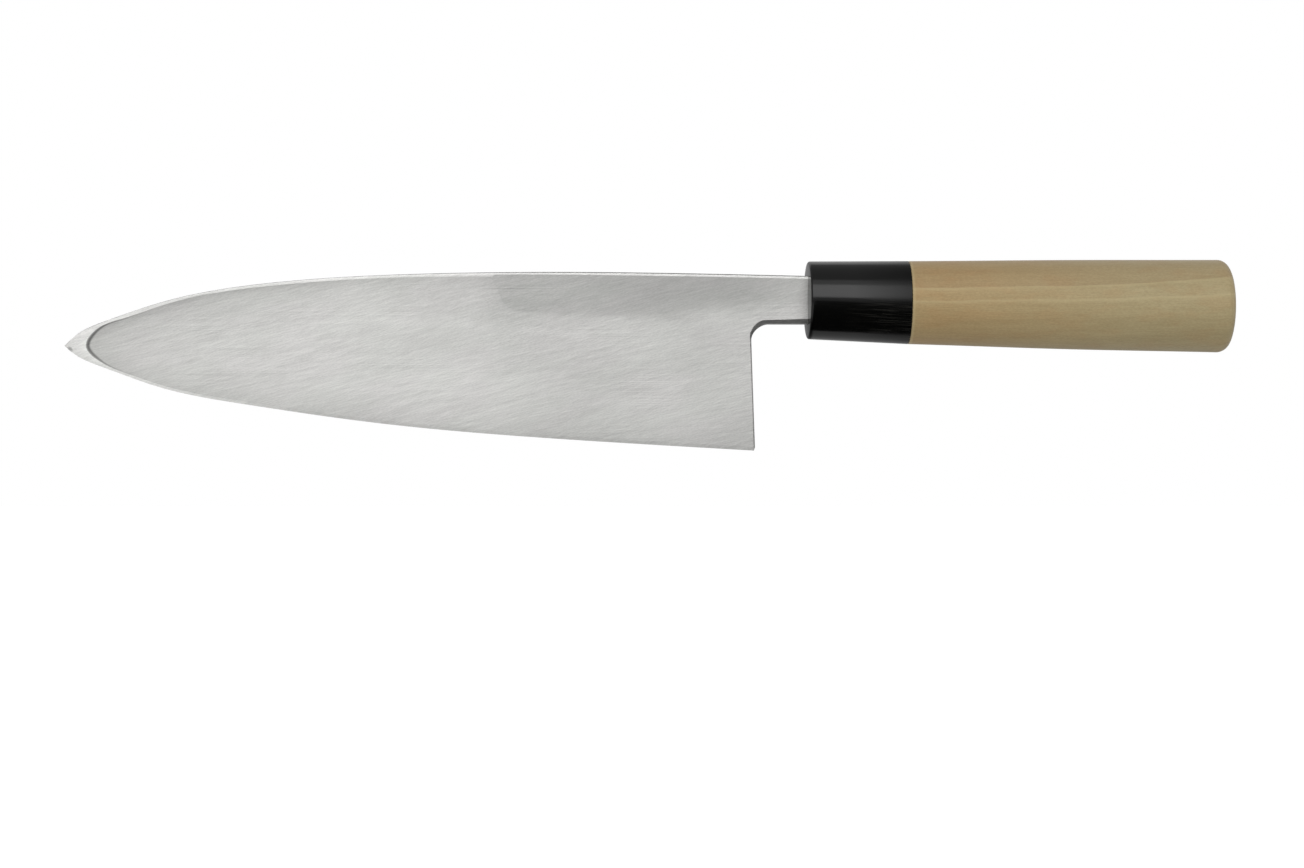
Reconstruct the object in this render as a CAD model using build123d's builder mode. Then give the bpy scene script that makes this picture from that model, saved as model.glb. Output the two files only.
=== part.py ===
"""Deba knife: a laminated single-bevel blade in a wooden handle with a black ferrule.

The knife stands as it is held in use. X runs along it, from the tip (-X) to the butt (+X). Z is up, from the
cutting edge to the spine. The flat, hollow-ground back faces -Y and the bevelled front faces +Y. The origin
is the centre of the ferrule's front face. All sizes are in millimetres.
"""

from build123d import *
import math
import os

os.makedirs("parts", exist_ok=True)

# Blade outline, seen from the back
blade_reach = 242.3  # ferrule to tip
heel_setback = 17.7  # ferrule to the heel of the cutting edge
heel_depth = 49.0  # heel below the handle's axis
tip_depth = 14.9  # tip below the handle's axis
neck_top = 7.8
neck_bottom = -7.65
choil_lean = 1.25  # how far the choil leans towards the tip by its top
corner_length = 5.5  # rounded corner between the choil and the neck's underside
corner_height = 5.5
shoulder_gap = 0.3  # steel shoulder to the ferrule's face

# Along the reach from the ferrule, and up from the tip towards the neck's top
spine_shares = [
    (0.2815, 1.055),
    (0.5497, 1.022),
    (0.7375, 0.886),
    (0.8584, 0.659),
    (0.9472, 0.348),
    (0.9835, 0.163),
]
# Along the edge from the tip, and down from the tip towards the heel
edge_shares = [
    (0.0134, 0.075),
    (0.0570, 0.208),
    (0.1380, 0.396),
    (0.2542, 0.551),
    (0.4555, 0.739),
    (0.7173, 0.889),
]

# Blade thickness, from the back
neck_thickness = 7.4
tip_thickness = 2.0
hard_steel_thickness = 2.2

# Front bevel, from the ridge down to the edge
ridge_depth = 19.5  # ridge below the handle's axis at the choil
koba_height = 1.2  # small second bevel along the edge
# Along the blade from the choil to the ridge's end, and up from the ridge's start towards its end
ridge_shares = [
    (0.31, 0.63),
    (0.64, 1.32),
    (0.86, 1.45),
]

# Eased corners of the steel: how far in they start, and how deep they go from the back
corner_depth = 0.45
spine_inset = 0.5
choil_inset = 0.45
neck_inset = 1.1
front_chamfer = 0.4

# Hollow in the back: round across the blade, and shallower towards the tip
hollow_depth = 0.68
hollow_tip_gap = 7.2  # rounded end of the hollow to the tip
hollow_end_lift = 0.4  # middle of that end above the tip
hollow_end_length = 15.7
hollow_end_height = 18.3
spine_rim = 1.3
edge_rim = 0.9
# From the ferrule towards the rounded end, and down to the hollow's depth
hollow_depth_shares = [
    (0.0, 1.0),
    (0.5, 0.98),
    (0.85, 0.62),
    (1.0, 0.17),
]
# Round the hollow's end from the spine's side to the edge's: back from the end, and up from its middle
hollow_end_shares = [
    (0.72, 0.45),
    (0.22, 0.27),
    (0.0, -0.03),
    (0.27, -0.29),
    (1.0, -0.56),
]
# The flat land that the hollow leaves at the neck: along the reach, and down from the neck's top to its bottom
land_shares = [
    (0.430, 0.01),
    (0.424, 0.13),
    (0.412, 0.48),
    (0.398, 0.67),
    (0.344, 0.82),
    (0.208, 0.89),
]

# Tang
tang_length = 96.0
tang_thickness = 4.2
tang_end_thickness = 2.6
tang_height = 13.0
tang_end_height = 5.5
tang_clearance = 0.15
tang_end_gap = 2.0

# Handle and ferrule: height and middle of each oval, and its thickness
ferrule_length = 32.5
handle_length = 137.5  # with the ferrule
front_height = 25.4
front_middle = 0.08
front_width = 22.2
joint_height = 27.1
joint_middle = -0.65
joint_width = 23.4
butt_height = 30.3
butt_middle = -1.85
butt_width = 26.0
palm_ridge = 1.0  # how far the ridge on the palm side stands out from the oval
palm_ridge_lean = 0.3  # how much its flanks lean, across for each length up
palm_ridge_radius = 5.0
butt_crown = 1.4  # how far the butt's end swells in its middle
butt_round = 3.5
ferrule_chamfer = 0.75

# Wooden tenon in the ferrule
tenon_diameter = 16.5
tenon_length = 24.0
tenon_chamfer = 0.6
tenon_clearance = 0.1

overrun = 5.0  # how far cutting shapes run past what they cut

# Places worked out from the sizes above
back_y = -neck_thickness / 2
weld_y = back_y + hard_steel_thickness
heel_x = -heel_setback
shoulder_x = -shoulder_gap
choil_top_x = heel_x - choil_lean
choil_top_z = neck_bottom - corner_height
tip_point = (-blade_reach, -tip_depth)
tip_to_neck = neck_top + tip_depth
tip_to_heel = heel_depth - tip_depth
edge_reach = blade_reach - heel_setback
choil_height = choil_top_z + heel_depth
front_lean = math.atan2(neck_thickness - tip_thickness, blade_reach)
crown_radius = ((butt_height / 2) ** 2 + butt_crown**2) / (2 * butt_crown)

# Planes that face the back, at three depths, and the leaning plane of the front face
back_plane = Plane.XZ.offset(-back_y)
corner_plane = back_plane.offset(-corner_depth)
weld_plane = Plane.XZ.offset(-weld_y)
front_plane = Plane(
    origin=(0, back_y + neck_thickness, 0),
    x_dir=(math.cos(front_lean), math.sin(front_lean), 0),
    z_dir=(math.sin(front_lean), -math.cos(front_lean), 0),
)


def choil_x(z):
    """Where the choil's straight line, from the heel to the rounded corner, is at height z."""
    return heel_x + (choil_top_x - heel_x) * (z + heel_depth) / choil_height


spine_points = [(-blade_reach * along, -tip_depth + tip_to_neck * up) for along, up in spine_shares]
edge_points = [(-blade_reach + edge_reach * along, -tip_depth - tip_to_heel * down) for along, down in edge_shares]

# The ridge on the front face runs from the choil and ends in the spine, short of the tip
ridge_start = (choil_x(-ridge_depth), -ridge_depth)
ridge_end = spine_points[-1]
ridge_points = [
    (
        ridge_start[0] + (ridge_end[0] - ridge_start[0]) * along,
        ridge_start[1] + (ridge_end[1] - ridge_start[1]) * up,
    )
    for along, up in reversed(ridge_shares)
]


def blade_outline(plane, upper, lower, spine_in=0, choil_in=0, neck_in=0):
    """The blade and neck on one plane. upper runs from the neck to the tip, and lower from there to the choil."""
    tip = lower[0]
    heel = (lower[-1][0] - choil_in, lower[-1][1])
    choil_top = (choil_top_x - choil_in, choil_top_z)
    corner_end = (choil_top_x + corner_length, neck_bottom + neck_in)
    neck_low = (shoulder_x, neck_bottom + neck_in)
    neck_high = (shoulder_x, neck_top - spine_in)
    with BuildSketch(plane) as outline:
        with BuildLine():
            Spline(neck_high, *[(x, z - spine_in) for x, z in upper], tip)
            Spline(*lower[:-1], heel)
            Line(heel, choil_top)
            Spline(choil_top, corner_end, tangents=[(choil_top_x - heel_x, choil_height), (1, 0)])
            Line(corner_end, neck_low)
            Line(neck_low, neck_high)
        make_face()
    return outline.sketch.face()


def blade_blank():
    """The whole blade and neck, before it is cut at the weld: ruled faces between outlines at three depths."""
    heel = (heel_x, -heel_depth)
    koba_points = [(x, z + koba_height) for x, z in edge_points]
    koba_heel = (choil_x(-heel_depth + koba_height), -heel_depth + koba_height)
    with BuildPart() as blank:
        loft(
            sections=[
                blade_outline(
                    back_plane, spine_points, [tip_point, *edge_points, heel], spine_inset, choil_inset, neck_inset
                ),
                blade_outline(corner_plane, spine_points, [tip_point, *koba_points, koba_heel]),
                blade_outline(front_plane, spine_points[:-1], [ridge_end, *ridge_points, ridge_start]),
            ],
            ruled=True,
        )
        front_face = blank.faces().filter_by(GeomType.PLANE).sort_by(Axis.Y)[-1]
        spine = front_face.edges().sort_by(Axis.Z)[-1]
        neck_underside = front_face.edges().filter_by(Axis.Z, reverse=True).sort_by(Axis.X)[-1]
        chamfer([spine, neck_underside], front_chamfer)
    return blank.part


blank = blade_blank()

# The hollow's middle runs from half the blade's height at the ferrule to the tip's height, nearly
hollow_reach = blade_reach - hollow_tip_gap
hollow_start_drop = (heel_depth - neck_top) / 2
hollow_end_drop = tip_depth - hollow_end_lift
hollow_half_width = (heel_depth + neck_top - spine_rim - edge_rim) / 2
hollow_radius = hollow_half_width**2 / (2 * hollow_depth)

# The hollow's outline on the back: the land at the neck, the spine, the rounded end and the edge
land_points = [(-blade_reach * along, neck_top - (neck_top - neck_bottom) * down) for along, down in land_shares]
end_points = [
    (-hollow_reach + hollow_end_length * back, -hollow_end_drop + hollow_end_height * up)
    for back, up in hollow_end_shares
]
past_choil = (choil_top_x + overrun, -heel_depth + edge_rim)

# Turned about a line far in front of the back, this plane's profile is the hollow's round floor
floor_plane = Plane(
    origin=(0, back_y - hollow_radius, -hollow_start_drop),
    x_dir=(-hollow_reach, 0, hollow_start_drop - hollow_end_drop),
    z_dir=(hollow_start_drop - hollow_end_drop, 0, hollow_reach),
)
floor_points = [
    (hollow_reach * along, -hollow_radius - hollow_depth * down) for along, down in hollow_depth_shares
]

with BuildPart() as hollow:
    with BuildSketch(back_plane.offset(overrun)):
        with BuildLine():
            Polyline(past_choil, (past_choil[0], choil_top_z), land_points[-1])
            Spline(*reversed(land_points))
            Spline(
                land_points[0],
                *[(x, z - spine_rim) for x, z in spine_points[1:4]],
                *end_points,
                *[(x, z + edge_rim) for x, z in edge_points[2:]],
                past_choil,
            )
        make_face()
    extrude(amount=-overrun - hollow_depth)
    with BuildSketch(floor_plane):
        with BuildLine():
            Spline(*floor_points)
            Polyline(floor_points[-1], (floor_points[-1][0], 0), (0, 0), floor_points[0])
        make_face()
    revolve(axis=Axis(floor_plane.origin, floor_plane.x_dir), mode=Mode.INTERSECT)

# Hard steel: the back of the blade, with its hollow
with BuildPart() as hard_steel_layer:
    add(blank)
    split(bisect_by=weld_plane, keep=Keep.TOP)
    add(hollow.part, mode=Mode.SUBTRACT)
hard_steel_layer.part.label = "hard_steel_layer"


def tang(clearance=0, end_gap=0):
    """The tapered tang, which lies on the weld plane, or the larger hole for it."""
    with BuildPart() as taper:
        for x, thickness, height in (
            (shoulder_x, tang_thickness, tang_height),
            (tang_length + end_gap, tang_end_thickness, tang_end_height),
        ):
            with BuildSketch(Plane.YZ.offset(x)):
                with Locations((weld_y + thickness / 2, 0)):
                    Rectangle(thickness + 2 * clearance, height + 2 * clearance)
        loft()
    return taper.part


# Soft iron: the bevelled front of the blade and the tang
with BuildPart() as soft_iron_layer:
    add(blank)
    split(bisect_by=weld_plane, keep=Keep.BOTTOM)
    add(tang())
soft_iron_layer.part.label = "soft_iron_layer"


def handle_oval(x, height, middle, width):
    """The handle's section at x: half an ellipse on the back, and a soft ridge for the palm on the front."""
    bottom = (0, middle - height / 2)
    top = (0, middle + height / 2)
    crest = (width / 2 + palm_ridge, middle)
    with BuildSketch(Plane.YZ.offset(x)) as section:
        with BuildLine():
            EllipticalCenterArc((0, middle), width / 2, height / 2, start_angle=90, arc_size=180)
            Spline(bottom, crest, tangents=[(1, 0), (palm_ridge_lean, 1)])
            Spline(crest, top, tangents=[(-palm_ridge_lean, 1), (-1, 0)])
        make_face()
        fillet(section.vertices().sort_by(Axis.X)[-1], palm_ridge_radius)
    return section.sketch.face()


# Ferrule: a black ring with a slot for the tang in its front wall and a socket for the wood behind it
with BuildPart() as ferrule:
    loft(
        sections=[
            handle_oval(0, front_height, front_middle, front_width),
            handle_oval(ferrule_length, joint_height, joint_middle, joint_width),
        ]
    )
    chamfer(ferrule.faces().sort_by(Axis.X)[0].edges(), ferrule_chamfer)
    with BuildSketch(Plane.YZ.offset(ferrule_length)):
        Circle(tenon_diameter / 2 + tenon_clearance)
    extrude(amount=-tenon_length - tenon_clearance, mode=Mode.SUBTRACT)
    add(tang(tang_clearance, tang_end_gap), mode=Mode.SUBTRACT)
ferrule.part.label = "ferrule"

# Handle: the wooden grip with its tenon and the hole for the tang
with BuildPart() as handle:
    loft(
        sections=[
            handle_oval(ferrule_length, joint_height, joint_middle, joint_width),
            handle_oval(handle_length, butt_height, butt_middle, butt_width),
        ]
    )
    with Locations((handle_length - crown_radius, 0, butt_middle)):
        Sphere(crown_radius, mode=Mode.INTERSECT)
    fillet(handle.faces().sort_by(Axis.X)[-1].edges(), butt_round)
    with BuildSketch(Plane.YZ.offset(ferrule_length)):
        Circle(tenon_diameter / 2)
    extrude(amount=-tenon_length)
    chamfer(handle.faces().sort_by(Axis.X)[0].edges(), tenon_chamfer)
    add(tang(tang_clearance, tang_end_gap), mode=Mode.SUBTRACT)
handle.part.label = "handle"

for piece in (hard_steel_layer, soft_iron_layer, ferrule, handle):
    export_step(piece.part, f"parts/{piece.part.label}.step")
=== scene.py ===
"""Deba knife in a plain white studio, seen square to its hollow-ground back.

The blade, ferrule and handle are built here as fine meshes from the same sizes as the CAD part, and each one
stands for its CAD node. Sizes are in millimetres, and turn into metres where a mesh is made.
"""

import math

import bmesh
import bpy
import numpy as np
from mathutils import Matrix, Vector
from mathutils.geometry import delaunay_2d_cdt


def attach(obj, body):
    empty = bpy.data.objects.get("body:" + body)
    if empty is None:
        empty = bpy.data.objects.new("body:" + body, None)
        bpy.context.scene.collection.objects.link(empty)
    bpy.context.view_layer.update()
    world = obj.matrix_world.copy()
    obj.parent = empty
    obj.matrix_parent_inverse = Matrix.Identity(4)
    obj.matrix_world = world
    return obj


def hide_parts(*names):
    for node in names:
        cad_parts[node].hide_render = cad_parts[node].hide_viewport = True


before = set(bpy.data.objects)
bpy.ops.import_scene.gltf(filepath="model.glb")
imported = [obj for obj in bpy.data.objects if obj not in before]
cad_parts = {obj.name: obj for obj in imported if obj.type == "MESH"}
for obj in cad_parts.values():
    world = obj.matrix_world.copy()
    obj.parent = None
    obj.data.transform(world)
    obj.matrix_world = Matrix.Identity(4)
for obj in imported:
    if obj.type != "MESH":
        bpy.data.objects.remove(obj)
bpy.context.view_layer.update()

MM = 0.001

# Blade outline, as in the part
blade_reach = 242.3
heel_setback = 17.7
heel_depth = 49.0
tip_depth = 14.9
neck_top = 7.8
neck_bottom = -7.65
choil_lean = 1.25
corner_length = 5.8
corner_height = 5.5
shoulder_gap = 0.3
spine_shares = [  # of the way from the ferrule to the tip, and from the tip up to the neck's top
    (0.2815, 1.055), (0.5497, 1.022), (0.7375, 0.886),
    (0.8584, 0.659), (0.9472, 0.348), (0.9835, 0.163),
]
edge_shares = [  # of the way from the tip to the heel, along and down
    (0.0134, 0.075), (0.0570, 0.208), (0.1380, 0.396),
    (0.2542, 0.551), (0.4555, 0.739), (0.7173, 0.889),
]
ridge_shares = [(0.86, 1.45), (0.64, 1.32), (0.31, 0.63)]  # of the way from the choil to the ridge's end
ridge_depth = 19.5
koba_height = 1.2  # the narrow second bevel along the edge

# Blade thickness and eased corners
neck_thickness = 7.4
tip_thickness = 2.0
hard_steel_thickness = 2.2
corner_depth = 0.45
spine_insets = (0.95, 0.95, 0.6, 0.5, 0.5, 0.5, 0.5)  # from the ferrule to the tip
choil_inset = 0.45
corner_tighter = 1.3  # how much tighter the choil's corner is on the back
neck_insets = (1.1, 1.5)  # at the choil's corner and at the ferrule
front_chamfer = 0.4
spine_flat = 0.7  # how much of the spine's inset stays level with the back, as a bright strip

# Hollow of the back
hollow_depth = 0.35
hollow_depth_shares = [(0.0, 1.0), (0.5, 0.98), (0.85, 0.75), (1.0, 0.3)]  # from the ferrule to its end
hollow_tip_gap = 7.0
hollow_end_lift = 0.4
hollow_end_length = 15.7
hollow_end_height = 18.3
hollow_end_shares = [(0.72, 0.45), (0.22, 0.27), (0.0, -0.03), (0.27, -0.29), (1.0, -0.56)]
hollow_past_choil = 5.0  # its outline runs on past the choil, off the blade
spine_rims = (1.0, 1.0, 1.1)  # from the land towards the tip
edge_rim = 0.9
land_shares = [  # of the blade's length from the ferrule, and of the neck's height from its top
    (0.208, 0.85), (0.344, 0.81), (0.388, 0.745), (0.405, 0.66),
    (0.412, 0.54), (0.422, 0.19), (0.430, 0.01),
]
slope_width = 1.5  # slope round the hollow's end
side_slope_width = 0.5  # narrower slope along the spine and the edge
end_reach = 8.0  # how far back from the hollow's end its slope narrows and gets shallower
land_slope_width = 45.0  # much gentler slope beside the land

# Finish of the back, and the painted shade on it
spine_slope_reach = 28.0  # how far back the hollow's slope has painted shade along the spine, and along the edge
edge_slope_reach = 22.0
edge_honed_reach = 75.0  # how far back the bright honed rim runs along the edge; its brightness is partly a painted highlight
land_blur_widths = [7.0, 3.5, 1.3, 0.6, 0.4]  # how softly the land's finish ends, from the choil to the spine
land_blur_places = [0.0, 0.33, 0.8, 0.86, 1.0]
land_fade_start = (-54.0, 1.5)  # the land's finish fades to the right of here, and downwards
land_fade_size = (24.0, 9.0)
neck_fade_step = (-25.0, 25.0)  # and along the neck, from here over this length, by this share
neck_fade = 0.6
land_border_fade = 0.22  # how much weaker it gets beside its border, and within what distance
land_border_reach = 2.5
land_end_strength = 0.74  # how strong it is at its left end, and where and over what length it grows
land_end_step = (-100.0, 50.0)
spine_shade = 0.14  # how much darker the hollow is beside the spine near the tip, and how far
spine_shade_width = 1.6
spine_shade_reach = (60.0, 110.0)  # where it starts to fade, and where it ends
strip_shade = 0.14  # how much darker the strip along the spine is than the rim at the tip
strip_shade_reach = 40.0
side_shades = (0.14, 0.16)  # softer shades along the spine and the edge
side_shade_width = 6.0
end_shade = 0.06  # a soft shade in the hollow near its end, and its reach
end_shade_reach = 32.0
land_shade = 0.09  # a soft shade in the hollow beside the land, and its reach
land_shade_reach = 8.0
wave_line = [(-140.0, -6.0), (-103.0, -8.4), (-70.0, -11.5)]  # a faint wave in the hollow, left of the land
wave_shade = 0.035  # how much darker it is above the wave, and brighter on it
wave_light = 0.04
wave_step = 1.5  # how softly it gets darker, and how wide the brighter line is
wave_width = 1.0
wave_start = (-145.0, 15.0)  # where it comes and goes along the blade, each with its length
wave_end = (-85.0, 20.0)

# Tang
tang_length = 96.0
tang_thickness = 4.2
tang_end_thickness = 2.6
tang_height = 13.0
tang_end_height = 5.5
weld_gap = 0.02  # keeps the tang clear of the cut at the weld

# Handle
ferrule_length = 32.5
handle_length = 137.5
front_oval = (25.4, 0.08, 22.2)  # height, middle and thickness
joint_oval = (27.1, -0.65, 23.4)
butt_oval = (30.3, -1.85, 26.0)
handle_swell = (0.44, -0.06)  # how much higher it is halfway along, and how far its middle moves
palm_ridge = 0.77  # how far it stands out, and its half width as an angle
palm_ridge_spread = 0.42
butt_crown = 1.4
butt_round = 3.5
butt_drop = 0.12  # how much lower the butt's middle gets as its rim rounds in
ferrule_chamfer = 0.75
ferrule_chamfer_share = 0.06  # of its length, past which its rings are upright
joint_chamfer = 0.2
face_crown = 0.4  # how far the ferrule's face swells in its middle
face_skew = 0.9  # how much nearer the tip its far side is

# Finishes of the steel: how honed it is, how much of the land's look it has, how much of the painted shade on
# the end slope it has, and its tone, which is painted shade
plain_finish = (0.0, 0.0, 0.0, 1.0)
honed_finish = (1.0, 0.0, 0.0, 1.0)
strip_finish_and_shade = (1.0, 0.0, 0.0, 0.77)  # the bright strip along the spine, toned down by painted shade, and its dark outer edge, which is painted shade
strip_edge_finish_and_shade = (0.4, 0.0, 0.0, 0.3)
shaded_finish = (0.0, 0.0, 0.0, 0.5)  # painted shade on the eased corner under the neck

# Fineness of the meshes
run_steps = {"spine": 240, "edge": 220, "choil": 50, "corner": 24, "neck": 16, "shoulder": 12}
choil_line_count = 60
land_line_count = 120
blade_line_count = 600
side_line_count = 300
profile_count = 200
slope_lines = (0, 0.2, 0.4, 0.6, 0.8, 1)  # shares of a slope's width where the back face has a line of points
grid_spacing = 1.8  # of the other points of the back face, and how clear of those lines they keep
grid_clear = 0.75
outline_clear = 0.3  # how clear of the outline the slope's lines keep
line_slack = (0.97, 0.01)  # how near the edge a slope's line may come: a share of its distance, less this
corner_fades = (20, 6)  # the front's eased corner fades over 1/20 of the spine, and 1/6 of the choil
fill_tolerance = 1e-5
merge_distance = 1e-6  # in metres, as is the next
cut_tolerance = 1e-7
steel_sharp_angle = 12  # in degrees; sharper edges stay sharp
handle_sharp_angle = 40
oval_count = 128
chamfer_turns = 7
rim_turns = 13
ferrule_rings = 24
handle_rings = 60
face_rings = (0.02, 0.2, 0.4, 0.6, 0.8, 1.0)  # shares of the face's size, from its middle outwards
butt_rings = (0.85, 0.7, 0.5, 0.3, 0.15, 0.03)

# Places worked out from the sizes
back_y = -neck_thickness / 2
weld_y = back_y + hard_steel_thickness
corner_y = back_y + corner_depth
front_lean = math.atan2(neck_thickness - tip_thickness, blade_reach)
heel_x = -heel_setback
choil_top = (heel_x - choil_lean, neck_bottom - corner_height)
tip_point = (-blade_reach, -tip_depth)
hollow_reach = blade_reach - hollow_tip_gap
run_of_point = np.repeat(list(run_steps), [count - 1 for count in run_steps.values()])


def choil_x(z):
    """Where the choil's straight line is at height z."""
    return heel_x + (choil_top[0] - heel_x) * (z + heel_depth) / (choil_top[1] + heel_depth)


def at_shares(start, size, shares):
    """Points in X and Z, at shares of a size from the start."""
    return [(start[0] + size[0] * along, start[1] + size[1] * up) for along, up in shares]


spine_points = at_shares((0, -tip_depth), (-blade_reach, neck_top + tip_depth), spine_shares)
edge_points = at_shares(tip_point, (blade_reach - heel_setback, tip_depth - heel_depth), edge_shares)
ridge_start = (choil_x(-ridge_depth), -ridge_depth)
ridge_end = spine_points[-1]
ridge_size = (ridge_end[0] - ridge_start[0], ridge_end[1] - ridge_start[1])
ridge_points = at_shares(ridge_start, ridge_size, ridge_shares)


# Curves and outlines


def smooth_curve(points, count):
    """count points on the smooth curve that passes through the given ones."""
    given = np.array(points, float)
    reach = np.concatenate([[0], np.cumsum(np.linalg.norm(np.diff(given, axis=0), axis=1))])
    step = np.diff(reach)
    last = len(given) - 1
    matrix = np.eye(last + 1)
    pull = np.zeros_like(given)
    for i in range(1, last):
        matrix[i, i - 1 : i + 2] = step[i - 1], 2 * (step[i - 1] + step[i]), step[i]
        pull[i] = 6 * ((given[i + 1] - given[i]) / step[i] - (given[i] - given[i - 1]) / step[i - 1])
    bend = np.linalg.solve(matrix, pull)
    at = np.linspace(0, reach[-1], count)
    k = np.clip(np.searchsorted(reach, at, side="right") - 1, 0, last - 1)
    size = step[k][:, None]
    after = (at - reach[k])[:, None]
    before = size - after
    curved = (bend[k] * before**3 + bend[k + 1] * after**3) / (6 * size)
    start, end = (given[i] / size - bend[i] * size / 6 for i in (k, k + 1))
    return curved + start * before + end * after


def straight(start, end, count):
    """count points on a straight line."""
    share = np.linspace(0, 1, count)[:, None]
    return np.array(start, float) * (1 - share) + np.array(end, float) * share


def rounded_corner(start, end, start_way, end_way, count):
    """count points on a curve from start to end that leaves and arrives in the given directions."""
    start, end = np.array(start, float), np.array(end, float)
    size = np.linalg.norm(end - start)
    leave, arrive = (np.array(way, float) / np.linalg.norm(way) * size for way in (start_way, end_way))
    t = np.linspace(0, 1, count)[:, None]
    return (
        (2 * t**3 - 3 * t**2 + 1) * start
        + (t**3 - 2 * t**2 + t) * leave
        + (-2 * t**3 + 3 * t**2) * end
        + (t**3 - t**2) * arrive
    )


def blade_outline(upper, lower, spine_in=0, choil_in=0, tighter=0, neck_in=(0, 0)):
    """A closed outline of the blade in X and Z: from the neck along upper to the tip, and back along lower.

    The spine, choil and neck move in by their insets, and the choil's corner gets tighter.
    """
    neck_spine_in, *upper_in = np.broadcast_to(spine_in, len(upper) + 1)
    heel = (lower[-1][0] - choil_in, lower[-1][1])
    top = (choil_top[0] - choil_in, choil_top[1] + tighter)
    corner_end = (choil_top[0] + corner_length - tighter, neck_bottom + neck_in[0])
    neck_low = (-shoulder_gap, neck_bottom + neck_in[1])
    neck_high = (-shoulder_gap, neck_top - neck_spine_in)
    choil_way = (choil_top[0] - heel_x, choil_top[1] + heel_depth)
    spine = [neck_high, *[(x, z - inset) for (x, z), inset in zip(upper, upper_in)], lower[0]]
    runs = [
        smooth_curve(spine, run_steps["spine"]),
        smooth_curve([*lower[:-1], heel], run_steps["edge"]),
        straight(heel, top, run_steps["choil"]),
        rounded_corner(top, corner_end, choil_way, (1, 0), run_steps["corner"]),
        straight(corner_end, neck_low, run_steps["neck"]),
        straight(neck_low, neck_high, run_steps["shoulder"]),
    ]
    return np.vstack([run[:-1] for run in runs])


# The hollow


def hollow_outline():
    """The hollow's edge in X and Z: its line along the land, and the one along the blade and its end."""
    land = at_shares((0, neck_top), (-blade_reach, neck_bottom - neck_top), land_shares)
    end_start = (-hollow_reach, -tip_depth + hollow_end_lift)
    end = at_shares(end_start, (hollow_end_length, hollow_end_height), hollow_end_shares)
    past_choil = (choil_top[0] + hollow_past_choil, -heel_depth + edge_rim)
    blade_way = [
        land[-1],
        *[(x, z - rim) for (x, z), rim in zip(spine_points[1:4], spine_rims)],
        *end,
        *[(x, z + edge_rim) for x, z in edge_points[2:]],
        past_choil,
    ]
    to_land = straight((past_choil[0], choil_top[1]), land[0], choil_line_count)
    land_way = np.vstack([to_land[:-1], smooth_curve(land, land_line_count)])
    return land_way, smooth_curve(blade_way, blade_line_count)


land_line, blade_line = hollow_outline()
hollow_edge = np.vstack([land_line[:-1], blade_line])


def inside(points, outline):
    """Which of the points lie inside a closed outline."""
    start, end = outline, np.roll(outline, -1, axis=0)
    x, z = points[:, :1], points[:, 1:]
    crosses = (start[:, 1] > z) != (end[:, 1] > z)
    rise = np.where(end[:, 1] == start[:, 1], 1, end[:, 1] - start[:, 1])
    at = start[:, 0] + (z - start[:, 1]) * (end[:, 0] - start[:, 0]) / rise
    return (crosses & (x < at)).sum(axis=1) % 2 == 1


def nearest(points, line):
    """For each point, the index of the line's nearest point and the distance to it."""
    away = np.linalg.norm(points[:, None, :] - line[None, :, :], axis=2)
    index = away.argmin(axis=1)
    return index, away[np.arange(len(points)), index]


def ease(share):
    """A smooth step from 0 to 1."""
    share = np.clip(share, 0, 1)
    return share * share * (3 - 2 * share)


def step_up(place, start, size):
    """0 up to the start, and 1 from a size further on, with a smooth step between them."""
    return ease((place - start) / size)


spine_line = smooth_curve([(-shoulder_gap, neck_top), *spine_points, tip_point], side_line_count)[::-1]
edge_line = smooth_curve([tip_point, *edge_points, (heel_x, -heel_depth)], side_line_count)


def from_sides(points):
    """How far each point lies below the spine's rim and above the edge's rim."""
    x, z = points[:, 0], points[:, 1]
    top = np.interp(x, spine_line[:, 0], spine_line[:, 1]) - spine_rims[0]
    bottom = np.interp(x, edge_line[:, 0], edge_line[:, 1]) + edge_rim
    return np.maximum(top - z, 0), np.maximum(z - bottom, 0)


def near_end(points, reach):
    """1 at the hollow's rounded end, fading to 0 at a distance back from it."""
    return 1 - step_up(points[:, 0], -hollow_reach, reach)


def slope_size(points):
    """How wide the slope at the hollow's edge is beside each point."""
    return side_slope_width + (slope_width - side_slope_width) * near_end(points, end_reach)


def hollow_at(points):
    """The hollow's depth at each point of the back: round across the blade, with a real step at its end."""
    below, above = from_sides(points)
    profile = smooth_curve(hollow_depth_shares, profile_count)
    share = np.interp(-points[:, 0] / hollow_reach, profile[:, 0], profile[:, 1])
    floor = hollow_depth * share * 4 * below * above / np.maximum(below + above, 1) ** 2
    floor = np.maximum(floor, hollow_depth * hollow_depth_shares[-1][1] * near_end(points, end_reach))
    to_blade, to_land = nearest(points, blade_line)[1], nearest(points, land_line)[1]
    sloped = floor * ease(to_blade / slope_size(points)) * ease(to_land / land_slope_width)
    return np.where(inside(points, hollow_edge), sloped, 0)


def land_blur(land_index):
    """How wide the border of the land's finish is at each point of the land's line."""
    return np.interp(land_index / len(land_line), land_blur_places, land_blur_widths)


def land_finish(points, line_index, to_land):
    """How much of the land's finish each point has. It ends softly at the land's line, and is uneven."""
    x, z = points[:, 0], points[:, 1]
    past_line = np.where(inside(points, hollow_edge), to_land, -to_land) / land_blur(line_index)
    faded = step_up(x, land_fade_start[0], land_fade_size[0])
    faded *= ease((land_fade_start[1] - z) / land_fade_size[1])
    land = (1 - ease(past_line + 0.5)) * (1 - faded)
    land *= 1 - neck_fade * step_up(x, *neck_fade_step)
    land *= land_end_strength + (1 - land_end_strength) * step_up(x, *land_end_step)
    return land * (1 - land_border_fade * np.exp(-to_land / land_border_reach))


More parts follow.
